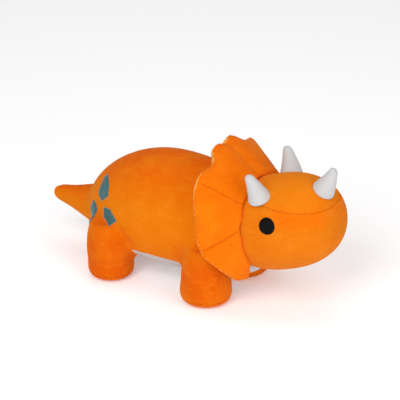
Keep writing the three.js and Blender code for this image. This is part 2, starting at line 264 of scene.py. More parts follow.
def sew_line(piece: bpy.types.Object, point: Vector, normal: Vector, depth: float,
             inside: Callable[[Vector], bool]) -> None:
    """Sinks a sewn seam into a skin, where a plane crosses a chosen stretch of it.

    Args:
        piece: The skin.
        point: A point of the plane.
        normal: The plane's direction.
        depth: How deep the thread pulls the fabric in.
        inside: Says whether a face's middle belongs to the stretch.
    """
    select_faces(piece, inside)
    bpy.ops.mesh.bisect(plane_co=point, plane_no=normal, use_fill=False)
    bpy.ops.mesh.select_mode(type="VERT")
    bpy.ops.transform.shrink_fatten(value=-depth)
    bpy.ops.object.mode_set(mode="OBJECT")


def split_off(piece: bpy.types.Object, name: str, inside: Callable[[Vector], bool]) -> bpy.types.Object:
    """Cuts some of a skin's faces off into a piece of their own.

    Args:
        piece: The skin.
        name: The new piece's name.
        inside: Says whether a face's middle belongs to the new piece.

    Returns:
        The new piece.
    """
    known = set(bpy.data.objects)
    select_faces(piece, inside)
    bpy.ops.mesh.separate(type="SELECTED")
    bpy.ops.object.mode_set(mode="OBJECT")
    new = next(o for o in bpy.data.objects if o not in known)
    new.name = name
    return new


def cut_plane(piece: bpy.types.Object, point: Vector, normal: Vector,
              inside: Callable[[Vector], bool]) -> None:
    """Runs a clean edge round a skin where a plane crosses a chosen stretch of it."""
    sew_line(piece, point, normal, 0.0, inside)


def give_thickness(piece: bpy.types.Object, thickness: float) -> None:
    """Turns an open skin into a closed one by adding the fabric's inner face."""
    apply_modifier(piece, "SOLIDIFY", thickness=thickness, offset=-1.0, use_rim=True)


def shade(piece: bpy.types.Object) -> None:
    """Smooths a piece's shading, but keeps the cut edges of its fabric crisp."""
    activate(piece)
    bpy.ops.object.shade_smooth_by_angle(angle=math.radians(62))


# ---------------------------------------------------------------- finishes
Colour = tuple[float, float, float]


def linear(red: int, green: int, blue: int) -> Colour:
    """Turns a display colour from 0 to 255 into the linear values that a shader takes."""
    parts = (c / 255 for c in (red, green, blue))
    return tuple(p / 12.92 if p <= 0.04045 else ((p + 0.055) / 1.055) ** 2.4 for p in parts)


@dataclass(frozen=True)
class NodeTable:
    """A material's nodes, with the few steps that every finish uses.

    Attributes:
        material: The material that they belong to.
    """

    material: bpy.types.Material

    @property
    def shader(self) -> bpy.types.ShaderNode:
        """The material's own surface shader."""
        return self.material.node_tree.nodes["Principled BSDF"]

    def add(self, kind: str) -> bpy.types.ShaderNode:
        """Adds a node by Blender's name for its type."""
        return self.material.node_tree.nodes.new(kind)

    def link(self, source: bpy.types.NodeSocket, target: bpy.types.NodeSocket) -> None:
        """Joins two sockets."""
        self.material.node_tree.links.new(source, target)

    def noise(self, place: bpy.types.NodeSocket, scale: float, detail: float,
              stretch: Sequence[float]) -> bpy.types.NodeSocket:
        """Adds a noise.

        Args:
            place: The coordinates that it reads.
            scale: How many of its patches go to a metre.
            detail: How many finer layers it has.
            stretch: How much closer it lies along each axis.

        Returns:
            Its value.
        """
        lay = self.add("ShaderNodeMapping")
        lay.inputs["Scale"].default_value = stretch
        self.link(place, lay.inputs["Vector"])
        noise = self.add("ShaderNodeTexNoise")
        noise.inputs["Scale"].default_value = scale
        noise.inputs["Detail"].default_value = detail
        self.link(lay.outputs[0], noise.inputs["Vector"])
        return noise.outputs["Fac"]

    def spread(self, value: bpy.types.NodeSocket, low: float, high: float) -> bpy.types.NodeSocket:
        """Spreads a narrow range of a value over 0 to 1.

        Args:
            value: The value.
            low: What becomes 0.
            high: What becomes 1.

        Returns:
            The spread value.
        """
        spread = self.add("ShaderNodeMapRange")
        spread.inputs["From Min"].default_value = low
        spread.inputs["From Max"].default_value = high
        self.link(value, spread.inputs["Value"])
        return spread.outputs["Result"]

    def mix(self, share: bpy.types.NodeSocket, first: Colour | bpy.types.NodeSocket,
            second: Colour) -> bpy.types.NodeSocket:
        """Mixes two colours.

        Args:
            share: How much of the second colour shows.
            first: The colour or socket under it.
            second: The colour over it.

        Returns:
            The mixed colour.
        """
        mix = self.add("ShaderNodeMix")
        mix.data_type = "RGBA"
        self.link(share, mix.inputs["Factor"])
        if isinstance(first, tuple):
            mix.inputs[6].default_value = (*first, 1)
        else:
            self.link(first, mix.inputs[6])
        mix.inputs[7].default_value = (*second, 1)
        return mix.outputs[2]

    def relief(self, height: bpy.types.NodeSocket, distance: float, strength: float) -> None:
        """Makes the surface look raised where a value is high.

        Args:
            height: The value.
            distance: How deep the relief looks, in metres.
            strength: How strongly it shows, from 0 to 1.
        """
        bump = self.add("ShaderNodeBump")
        bump.inputs["Distance"].default_value = distance
        bump.inputs["Strength"].default_value = strength
        self.link(height, bump.inputs["Height"])
        self.link(bump.outputs["Normal"], self.shader.inputs["Normal"])


def new_material(name: str) -> NodeTable:
    """Starts a node material and gives its table of nodes.

    Args:
        name: The material's name.

    Returns:
        The table of its nodes.
    """
    material = bpy.data.materials.new(name)
    material.use_nodes = True
    return NodeTable(material)


@dataclass(frozen=True)
class PileFinish:
    """Short velvety pile: brushed patches, a grainy nap with painted shade between its tufts, painted light
    and shade on faces that point up, and a soft bloom at its edges.

    Attributes:
        name: The material's name.
        base: The pile's colour seen straight on.
        brushed: The lighter colour where the nap lies the other way.
        deep: The darker colour of the pile's grain, laid where its relief is low: painted shade between the
            tufts.
        crown: Painted light and shade on faces that point up: darker on the body and collar, lighter on the
            head.
        nap_and_shade: A deeper colour low round the legs' roots and along the head's crown seam: pile brushed
            the other way there, and on the body painted shade low under it.
        nap: The size of one tuft in metres.
        bloom: How strong the sheen is.
        tint: The sheen's colour.
        relief: How deep the nap looks, in metres.
    """

    name: str
    base: Colour
    brushed: Colour
    deep: Colour
    crown: Colour | None = None
    nap_and_shade: Colour | None = None
    nap: float = 0.0006
    bloom: float = 0.10
    tint: Colour = (1.0, 0.62, 0.2)
    relief: float = 0.0003

    def make(self) -> bpy.types.Material:
        """Builds the node material.

        Returns:
            The material, ready to assign.
        """
        table = new_material(self.name)
        cloth = table.shader
        cloth.inputs["Roughness"].default_value = 0.95
        cloth.inputs["Specular IOR Level"].default_value = 0.08
        cloth.inputs["Sheen Weight"].default_value = self.bloom
        cloth.inputs["Sheen Roughness"].default_value = 0.45
        cloth.inputs["Sheen Tint"].default_value = (*self.tint, 1)
        place = table.add("ShaderNodeTexCoord").outputs["Object"]
        patches = table.noise(place, 48.0, 3.0, (1, 1, 1))
        strokes = table.noise(place, 210.0, 2.0, (0.35, 1.0, 1.3))
        tufts = table.noise(place, 1.0 / self.nap, 2.0, (1, 1, 1))
        # Painted light and shade: faces that point up take the crown colour, which is painted shade on the
        # body and collar and a painted highlight on the head's top.
        face = table.add("ShaderNodeSeparateXYZ")
        table.link(table.add("ShaderNodeNewGeometry").outputs["Normal"], face.inputs[0])
        colour = table.mix(table.spread(face.outputs["Z"], 0.25, 0.95), self.base, self.crown or self.base)
        # Partly painted shade: a deeper colour where this mark is set, which is shade low round the legs and
        # the pile's own brushing along the head's crown seam.
        nap_and_shade_mark = table.add("ShaderNodeAttribute")
        nap_and_shade_mark.attribute_name = "nap_and_shade"
        colour = table.mix(nap_and_shade_mark.outputs["Fac"], colour, self.nap_and_shade or self.base)
        colour = table.mix(table.spread(patches, 0.45, 1.0), colour, self.brushed)
        colour = table.mix(table.spread(strokes, 0.52, 1.1), colour, self.brushed)
        # Painted shade: the deep colour goes where the tufts' relief is low, between the tufts.
        colour = table.mix(table.spread(tufts, 0.60, 0.20), colour, self.deep)
        table.link(colour, cloth.inputs["Base Color"])
        height = table.add("ShaderNodeMath")
        height.operation = "MULTIPLY_ADD"
        height.inputs[1].default_value = 0.8
        table.link(strokes, height.inputs[0])
        table.link(tufts, height.inputs[2])
        table.relief(height.outputs[0], self.relief, 0.8)
        return table.material


@dataclass(frozen=True)
class ThreadFinish:
    """Closely laid embroidery thread with a soft gleam.

    Attributes:
        name: The material's name.
        colour: The thread's colour.
        pitch: The width of one thread in metres.
        gloss: The thread's roughness.
    """

    name: str
    colour: Colour
    pitch: float = 0.0005
    gloss: float = 0.38

    def make(self) -> bpy.types.Material:
        """Builds the node material.

        Returns:
            The material, ready to assign.
        """
        table = new_material(self.name)
        thread = table.shader
        thread.inputs["Roughness"].default_value = self.gloss
        thread.inputs["Specular IOR Level"].default_value = 0.12
        place = table.add("ShaderNodeTexCoord").outputs["Object"]
        rows = table.add("ShaderNodeTexWave")
        rows.bands_direction = "DIAGONAL"
        rows.inputs["Scale"].default_value = 0.32 / self.pitch
        rows.inputs["Distortion"].default_value = 1.2
        table.link(place, rows.inputs["Vector"])
        lit = tuple(min(1.0, c * 1.6 + 0.001) for c in self.colour)
        table.link(table.mix(rows.outputs["Fac"], self.colour, lit), thread.inputs["Base Color"])
        table.relief(rows.outputs["Fac"], 0.00015, 0.5)
        return table.material


# Painted light and shade: each crown colour is painted on faces that point up; the body's nap_and_shade
# colour adds painted shade low round the legs.
ORANGE = PileFinish("orange_pile", linear(224, 119, 2), linear(232, 136, 20), linear(210, 100, 0),
                    crown=linear(226, 92, 0), nap_and_shade=linear(216, 86, 0))
# The head's crown colour is a painted highlight on its top.
HEAD_ORANGE = PileFinish("head_pile", linear(220, 116, 10), linear(230, 136, 28), linear(206, 102, 2),
                         crown=linear(232, 126, 8), nap_and_shade=linear(236, 102, 0))
FRILL_ORANGE = PileFinish("frill_pile", linear(230, 112, 2), linear(238, 132, 16), linear(216, 96, 0),
                          crown=linear(230, 104, 0), bloom=0.12)
# Painted highlight: a lighter orange for the collar's fuzzy rim, where it catches the light.
RIM_HIGHLIGHT = PileFinish("rim_highlight_pile", linear(242, 166, 80), linear(248, 188, 120), linear(222, 132, 40),
                        crown=linear(242, 166, 80), nap=0.0010, bloom=0.3, relief=0.0008)
WHITE = PileFinish("white_pile", linear(194, 193, 193), linear(202, 201, 201), linear(184, 183, 183),
                   nap=0.0004, bloom=0.15, tint=(1.0, 1.0, 1.0), relief=0.0002)
TEAL = PileFinish("teal_patch", linear(62, 100, 104), linear(96, 128, 126), linear(38, 70, 76),
                  bloom=0.35, tint=(0.8, 1.0, 1.0))
BLACK = ThreadFinish("eye_black", linear(2, 2, 2), gloss=0.7)
TEAL_THREAD = ThreadFinish("teal_thread", linear(112, 138, 128), gloss=0.6)


def dress(piece: bpy.types.Object, material: bpy.types.Material) -> None:
    """Gives a piece its only material and smooth shading.

    Args:
        piece: The finished piece.
        material: Its material.
    """
    piece.data.materials.clear()
    piece.data.materials.append(material)
    shade(piece)


# ---------------------------------------------------------------- the toy
OFFSET = 2.9 * MM  # the frame's origin lies this far along X from the middle of the shapes' own figures


def at(x: float, y: float, z: float) -> Vector:
    """A place in the frame from the shapes' own figures in millimetres."""
    return Vector((x * MM - OFFSET, y * MM, z * MM))


def super_ellipse(share: np.ndarray, power: float | np.ndarray) -> np.ndarray:
    """The half width of a blunt ellipse at a share of its length."""
    return np.maximum(0, 1 - np.abs(share) ** power) ** (1 / power)


def unit_ball(name: str, segments: int, rings: int) -> bpy.types.Object:
    """A ball of radius 1 with its poles along X, to be shaped.

    Args:
        name: The ball's name.
        segments: How many faces go round it.
        rings: How many rows of faces go along it.

    Returns:
        The ball.
    """
    deselect_all()
    bpy.ops.mesh.primitive_uv_sphere_add(
        segments=segments, ring_count=rings, radius=1, rotation=(0, math.pi / 2, 0)
    )
    ball = bpy.context.object
    ball.name = name
    settle(ball)
    return ball


@dataclass
class Leg:
    """One stubby leg, stuffed with the body.

    Attributes:
        name: The body's name.
        x: Where its middle stands along the toy, in mm.
        side: Its hand.
        foot: The foot's radius in mm.
        y: Where its middle stands across the toy, in mm.
        root: The radius of its root in mm.
        span: How far along the toy it may reach from its middle, in mm.
        cut: The height at which the body parts from it, in mm.
        cut_lean: How far the cut's own direction runs inwards and up.
    """

    name: str
    x: float
    side: Side
    foot: float
    y: float = 34.0
    root: float = 21.5
    span: float = 38
    cut: float = 23
    cut_lean: tuple[float, float] = (14, 22)

    def bare(self) -> bpy.types.Object:
        """Shapes the closed leg that runs up into the body.

        Returns:
            The bare leg.
        """
        deselect_all()
        bpy.ops.mesh.primitive_cylinder_add(vertices=40, radius=1, depth=1, end_fill_type="NGON")
        leg = bpy.context.object
        leg.name = f"{self.name}_bare"
        bpy.ops.object.mode_set(mode="EDIT")
        for height in (-0.3, -0.1, 0.1, 0.3):
            bpy.ops.mesh.select_all(action="SELECT")
            bpy.ops.mesh.bisect(plane_co=(0, 0, height), plane_no=(0, 0, 1))
        bpy.ops.object.mode_set(mode="OBJECT")
        points = coordinates(leg)
        height = points[:, 2] + 0.5
        turn = np.arctan2(points[:, 1], points[:, 0])
        out = np.minimum(1, np.hypot(points[:, 0], points[:, 1]))
        levels = [0, 0.2, 0.4, 0.6, 0.8, 1]
        foot, root = self.foot, self.root
        radius = np.interp(height, levels, [foot - 3.2, foot + 0.6, foot, root + 0.8, root, root - 3])
        rise = np.interp(height, levels, [1.0, 7.0, 16.0, 28.0, 42.0, 56.0])
        points = np.column_stack([
            (self.x + out * radius * np.cos(turn)) * MM - OFFSET,
            (self.side.value * self.y + out * radius * np.sin(turn)) * MM,
            rise * MM,
        ])
        place_points(leg, points)
        return leg

    @property
    def plane_normal(self) -> Vector:
        """The way out of the leg through the cut where it meets the body."""
        inwards, up = self.cut_lean
        return Vector((0, -self.side.value * inwards, up)).normalized()

    @property
    def plane_point(self) -> Vector:
        """A point of that cut, in the middle of the leg."""
        return at(self.x, self.side.value * self.y, self.cut)

    def holds(self, point: Vector) -> bool:
        """Whether a point of the skin belongs to this leg."""
        return (
            point.y * self.side.value > 0
            and abs(point.x - at(self.x, 0, 0).x) < self.span * MM
            and (point - self.plane_point).dot(self.plane_normal) < 0
        )

    def finish(self, skin: bpy.types.Object, pile: bpy.types.Material) -> bpy.types.Object:
        """Takes the leg off the body's skin, sews its sole in and dresses it.

        Args:
            skin: The whole body's skin.
            pile: The pile's material.

        Returns:
            The finished leg.
        """
        leg = split_off(skin, f"{self.name}_leg_cover", self.holds)
        sew_line(leg, at(self.x, 0, 6.2), Vector((0, 0, 1)), 1.0 * MM, lambda p: p.z < 12 * MM)
        give_thickness(leg, FABRIC)
        dress(leg, pile)
        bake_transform(leg)
        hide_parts(f"{self.name}_leg_sleeve", f"{self.name}_sole", f"{self.name}_leg_stuffing")
        return leg


@dataclass
class BodyCover:
    """The body with its legs and tail, stuffed as one and then told apart at its seams.

    Attributes:
        front, length, width, height, belly: The body's main sizes in mm.
        rump_drop, chest_drop: How far its ends lie below its middle, in mm.
        rump_power, chest_power: How blunt its ends are.
        seam_angle: Degrees from the spine to the white panel.
        belly_end: Where the white panel ends under the tail along X, in mm.
        leg_square: Half the length of the orange square round a leg's root, in mm.
        leg_inner: How far from the middle that square starts, in mm.
        tail_cut: Where the tail's own piece starts along X, in mm.
        throat_middle, throat_half: The throat's place and half sizes in mm.
        folds, fold_depths: Where the skin folds in at the legs' roots, and how deep, in mm.
        legs: The four legs.
    """

    front: float = 75
    length: float = 184
    width: float = 101
    height: float = 111
    belly: float = 11
    rump_drop: float = 11
    chest_drop: float = 8
    rump_power: float = 2.0
    chest_power: float = 2.5
    seam_angle: float = 132
    belly_end: float = -92
    leg_square: float = 25
    leg_inner: float = 11
    tail_cut: float = -109
    throat_middle: tuple[float, float, float] = (57.5, 0, 37.5)
    throat_half: tuple[float, float, float] = (19, 26, 15)
    folds: Sequence[tuple[Sequence[float], Sequence[float]]] = (
        ((-54, 48, 60), (-38, 44, 33)),
        ((9, 48, 52), (13, 42, 34)),
        ((-90, 20, 66), (-94, 20, 38)),
    )
    fold_depths: Sequence[float] = (2.8, 1.4, 1.2)
    legs: list[Leg] = field(default_factory=lambda: [
        Leg("front_right", 33, Side.RIGHT, 23.5),
        Leg("front_left", 33, Side.LEFT, 23.5),
        Leg("rear_right", -67.5, Side.RIGHT, 21),
        Leg("rear_left", -67.5, Side.LEFT, 21),
    ])

    @property
    def middle(self) -> float:
        """The height of the body's middle in mm."""
        return self.belly + self.height / 2

    def _torso(self, slack: float) -> bpy.types.Object:
        """Shapes the torso's blob, a little slack before it is stuffed.

        Args:
            slack: How much smaller it is than the stuffed torso, in mm.

        Returns:
            The bare torso.
        """
        torso = unit_ball("torso_bare", 64, 40)
        ball = coordinates(torso)
        share = np.clip(ball[:, 0], -1, 1)
        turn = np.arctan2(ball[:, 1], ball[:, 2])
        radius = super_ellipse(share, np.where(share < 0, self.rump_power, self.chest_power))
        drop = np.where(share < 0, self.rump_drop, self.chest_drop) * share**2
        place_points(torso, np.column_stack([
            (self.front - self.length / 2 + (self.length / 2 - slack) * share) * MM - OFFSET,
            (self.width / 2 - slack) * radius * np.sin(turn) * MM,
            (self.middle - drop + (self.height / 2 - slack) * radius * np.cos(turn)) * MM,
        ]))
        return torso

    def _throat(self) -> bpy.types.Object:
        """Shapes the fullness under the throat.

        Returns:
            The bare throat.
        """
        throat = unit_ball("throat_bare", 32, 20)
        middle = np.array(at(*self.throat_middle))
        place_points(throat, coordinates(throat) * np.array(self.throat_half) * MM + middle)
        return throat

    def _tail(self) -> bpy.types.Object:
        """Shapes the short tapering tail.

        Returns:
            The bare tail.
        """
        tail = unit_ball("tail_bare", 32, 24)
        ball = coordinates(tail)
        share = (1 - np.clip(ball[:, 0], -1, 1)) / 2
        turn = np.arctan2(ball[:, 1], ball[:, 2])
        along = np.interp(share, [0, 0.15, 0.4, 0.7, 0.93, 1], [-74, -86, -106, -126, -146, -149.6])
        radii = [0, 15, 22.5, 17.6, 11.0, 7.6, 5.4, 0]
        radius = np.interp(share, [0, 0.08, 0.2, 0.4, 0.7, 0.88, 0.95, 1], radii)
        rise = np.interp(share, [0, 0.2, 0.4, 1], [47, 48, 50.0, 50])
        place_points(tail, np.column_stack([
            along * MM - OFFSET, radius * np.sin(turn) * MM, (rise + radius * np.cos(turn)) * MM,
        ]))
        return tail

    def build(self, orange: bpy.types.Material, white: bpy.types.Material) -> dict[str, bpy.types.Object]:
        """Builds and dresses the body's pieces.

        Args:
            orange: The orange pile.
            white: The white pile.

        Returns:
            The finished pieces by name.
        """
        legs = (leg.bare() for leg in self.legs)
        skin = join([self._torso(1.7), self._throat(), self._tail(), *legs], "torso_cover")
        turn_out(skin)
        remesh(skin, Voxel.COVER, 3)
        inflate(skin, 4.0, 3.2 * MM)
        apply_modifier(skin, "SUBSURF", levels=1, render_levels=1)
        points = coordinates(skin)
        points[:, 2] = np.maximum(points[:, 2], 0.0)
        place_points(skin, points)
        self._crease(skin)
        self._mark_nap_and_shade(skin)
        self._sew(skin)
        pieces = {leg.name: leg.finish(skin, orange) for leg in self.legs}
        pieces["tail"] = self._finish_tail(skin, orange)
        pieces["belly"] = self._finish_belly(skin, white)
        give_thickness(skin, FABRIC)
        dress(skin, orange)
        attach(skin, "torso")
        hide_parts("torso_stuffing", "right_side_panel", "left_side_panel")
        pieces["torso"] = skin
        return pieces

    def _crease(self, skin: bpy.types.Object) -> None:
        """Folds the skin in where the haunches and shoulders meet the side.

        Args:
            skin: The whole body's skin.
        """
        points = coordinates(skin)
        normals = normals_of(skin)
        for (start, end), depth in zip(self.folds, self.fold_depths):
            for side in Side:
                a = np.array(at(start[0], start[1] * side.value, start[2]))
                run = np.array(at(end[0], end[1] * side.value, end[2])) - a
                share = np.clip((points - a) @ run / (run @ run), 0, 1)
                away = np.linalg.norm(points - a - np.outer(share, run), axis=1) / MM
                fade = 0.25 + 0.75 * share
                dent = depth * np.exp(-((away / 2.6) ** 2)) - 0.3 * depth * np.exp(-(((away - 7) / 4) ** 2))
                points -= normals * (dent * fade * MM)[:, None]
        place_points(skin, points)

    def _mark_nap_and_shade(self, skin: bpy.types.Object) -> None:
        """Marks where the pile turns deeper low round the legs: pile brushed the other way, and painted shade
        under the body.

        Args:
            skin: The whole body's skin.
        """
        points = coordinates(skin) / MM
        # Painted shade low round the legs, under the body, together with the pile brushed the other way
        # there.
        nap_and_shade = np.zeros(len(points))
        for leg in self.legs:
            hub = np.array(at(leg.x, 0, 0))[0] / MM
            reach = np.hypot(points[:, 0] - hub, points[:, 1] - leg.side.value * 40)
            near = np.clip((34 - reach) / 14, 0, 1)
            low = np.clip((66 - points[:, 2]) / 26, 0, 1)
            nap_and_shade = np.maximum(nap_and_shade, near * low)
        mark_points(skin, "nap_and_shade", nap_and_shade)

    def _sew(self, skin: bpy.types.Object) -> None:
        """Sinks the spine seam, the belly seams and the cuts that part the pieces.

        Args:
            skin: The whole body's skin.
        """
        above = 60 * MM
        sew_line(skin, Vector((0, 0, 0)), Vector((0, 1, 0)), 0.8 * MM,
                 lambda p: abs(p.y) < 12 * MM and p.z > above)
        for leg in self.legs:
            cut_plane(skin, leg.plane_point, leg.plane_normal,
                      lambda p, leg=leg: p.y * leg.side.value > 0
                      and abs(p.x - at(leg.x, 0, 0).x) < leg.span * MM and p.z < 52 * MM)
        cut_plane(skin, at(self.tail_cut, 0, 0), Vector((1, 0, 0)), lambda p: True)
        for side in Side:
            self._sew_belly_edge(skin, side)

    def _sew_belly_edge(self, skin: bpy.types.Object, side: Side) -> None:
        """Sinks one edge of the white panel, and the steps that it takes round the legs.

        Args:
            skin: The whole body's skin.
            side: The hand that the edge lies on.
        """
        angle = math.radians(self.seam_angle)
        normal = Vector((0, -side.value * math.cos(angle), math.sin(angle)))
        sew_line(skin, at(0, 0, self.middle), normal, 0.7 * MM,
                 lambda p: p.y * side.value > 0 and p.z < 60 * MM and p.x > at(self.belly_end, 0, 0).x
                 and not self._by_leg(p))
        for leg in self.legs:
            if leg.side is not side:
                continue
            for step in (-self.leg_square, self.leg_square):
                cut_plane(skin, at(leg.x + step, 0, 0), Vector((1, 0, 0)),
                          lambda p, leg=leg: p.y * leg.side.value > 0 and p.z < 45 * MM)
            cut_plane(skin, Vector((0, side.value * self.leg_inner * MM, 0)), Vector((0, 1, 0)),
                      lambda p: p.z < 30 * MM)

    def _by_leg(self, point: Vector) -> bool:
        """Whether a point of the skin lies in the orange square round a leg's root."""
        return any(
            abs(point.x - at(leg.x, 0, 0).x) < self.leg_square * MM and abs(point.y) > self.leg_inner * MM
            for leg in self.legs
        )

    def _white(self, point: Vector) -> bool:
        """Whether a point of the skin lies on the white panel."""
        away = math.degrees(math.atan2(abs(point.y), point.z - self.middle * MM))
        return away > self.seam_angle and not self._by_leg(point) and point.x > at(self.belly_end, 0, 0).x

    def _finish_belly(self, skin: bpy.types.Object, white: bpy.types.Material) -> bpy.types.Object:
        """Takes the white panel off the skin and dresses it.

        Args:
            skin: The whole body's skin.
            white: The white pile.

        Returns:
            The white panel.
        """
        belly = split_off(skin, "belly_cover", self._white)
        give_thickness(belly, FABRIC)
        dress(belly, white)
        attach(belly, "torso")
        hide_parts("belly_panel")
        return belly

    def _finish_tail(self, skin: bpy.types.Object, orange: bpy.types.Material) -> bpy.types.Object:
        """Takes the tail off the skin and dresses it.

        Args:
            skin: The whole body's skin.
            orange: The orange pile.

        Returns:
            The tail.
        """
        cut = at(self.tail_cut, 0, 52)
        tail = split_off(skin, "tail_cover", lambda p: p.x < cut.x)
        give_thickness(tail, FABRIC)
        dress(tail, orange)
        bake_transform(tail)
        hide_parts("tail_skin", "tail_stuffing")
        return tail


@dataclass
class HeadCover:
    """The stuffed head: a pointed-up egg with a gusset over the crown and a panel under the chin.

    Attributes:
        x, z: Its middle in mm.
        length, width, height: Its sizes in mm.
        power: How blunt it is.
        pitch: Degrees that its nose points up.
        crown: The height of the crown's seams in mm.
        chin: How far the chin's seam lies under the head's axis in mm.
        back: Where the head is cut off inside the collar along X, in mm.
        slack: How much smaller it is before it is stuffed, in mm.
    """

    x: float = 95
    z: float = 81
    length: float = 118
    width: float = 93
    height: float = 89
    power: float = 2.4
    pitch: float = 20
    crown: float = 109.5
    chin: float = 37
    back: float = 62
    slack: float = 1.2

    @property
    def along(self) -> Vector:
        """The head's direction."""
        turn = math.radians(self.pitch)
        return Vector((math.cos(turn), 0, math.sin(turn)))

    @property
    def up(self) -> Vector:
        """The way up from the head's axis."""
        turn = math.radians(self.pitch)
        return Vector((-math.sin(turn), 0, math.cos(turn)))

    def build(self, orange: bpy.types.Material) -> bpy.types.Object:
        """Builds, stuffs, sews and dresses the head.

        Args:
            orange: The orange pile.

        Returns:
            The head's cover.
        """
        head = unit_ball("head_cover", 64, 40)
        ball = coordinates(head)
        share = np.clip(ball[:, 0], -1, 1)
        turn = np.arctan2(ball[:, 1], ball[:, 2])
        radius = super_ellipse(share, self.power)
        along = (self.length / 2 - self.slack) * share
        left = (self.width / 2 - self.slack) * radius * np.sin(turn)
        rise = (self.height / 2 - self.slack) * radius * np.cos(turn)
        a, u = np.array(self.along), np.array(self.up)
        points = np.outer(along, a) + np.outer(rise, u) + np.array([self.x, 0, self.z])
        points[:, 1] += left
        points *= MM
        points[:, 0] -= OFFSET
        place_points(head, points)
        remesh(head, Voxel.COVER, 2)
        inflate(head, 4.0, 3.0 * MM)
        apply_modifier(head, "SUBSURF", levels=1, render_levels=1)
        activate(head)
        bpy.ops.object.mode_set(mode="EDIT")
        bpy.ops.mesh.select_all(action="SELECT")
        bpy.ops.mesh.bisect(plane_co=at(self.back, 0, 0), plane_no=(1, 0, 0), clear_inner=True, use_fill=True)
        bpy.ops.object.mode_set(mode="OBJECT")
        self._mark_nap_and_shade(head)
        front = at(self.back + 3, 0, 0).x
        sew_line(head, at(0, 0, self.crown), Vector((0, 0, 1)), 0.9 * MM,
                 lambda p: p.x > front and p.z > 90 * MM)
        under = at(self.x, 0, self.z) - self.up * self.chin * MM
        sew_line(head, under, self.up, 0.9 * MM, lambda p: p.x > front and p.z < 90 * MM)
        dress(head, orange)
        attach(head, "head")
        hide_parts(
            "head_stuffing", "crown_gusset", "right_cheek_panel", "left_cheek_panel", "chin_panel"
        )
        return head

    def _mark_nap_and_shade(self, head: bpy.types.Object) -> None:
        """Marks the pile that is stroked down along the crown's seam and over the brow.

        Args:
            head: The head's cover.
        """
        points = coordinates(head) / MM
        band = np.exp(-(((points[:, 2] - self.crown + 5) / 8) ** 2))
        forward = np.clip((points[:, 0] - 78) / 30, 0, 1) * np.clip((156 - points[:, 0]) / 22, 0, 1)
        sideways = 0.75 + 0.25 * np.sin(points[:, 0] * 0.16 + points[:, 1] * 0.11)
        mark_points(head, "nap_and_shade", band * forward * sideways)


@dataclass
class NeckPlug:
    """The plug of stuffing inside the throat that the head turns on.

    Attributes:
        centre: Its middle.
        radius: Its radius in metres.
        folds: How many gathers run round it.
        gather: How deep they are, as a share of its radius.
    """

    centre: Vector = field(default_factory=lambda: at(56, 0, 76))
    radius: float = 22 * MM
    folds: int = 10
    gather: float = 0.03

    def build(self, orange: bpy.types.Material) -> bpy.types.Object:
        """Builds the gathered ball of pile inside the throat.

        Args:
            orange: The orange pile.

        Returns:
            The plug.
        """
        deselect_all()
        bpy.ops.mesh.primitive_ico_sphere_add(subdivisions=4, radius=self.radius, location=self.centre)
        plug = bpy.context.object
        plug.name = "neck_plug"
        settle(plug)
        points = coordinates(plug)
        away = points - np.array(self.centre)
        turn = np.arctan2(away[:, 1], away[:, 2])
        points = np.array(self.centre) + away * (1 - self.gather * np.cos(self.folds * turn)[:, None])
        place_points(plug, points)
        dress(plug, orange)
        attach(plug, "neck")
        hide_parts("neck_stuffing")
        return plug


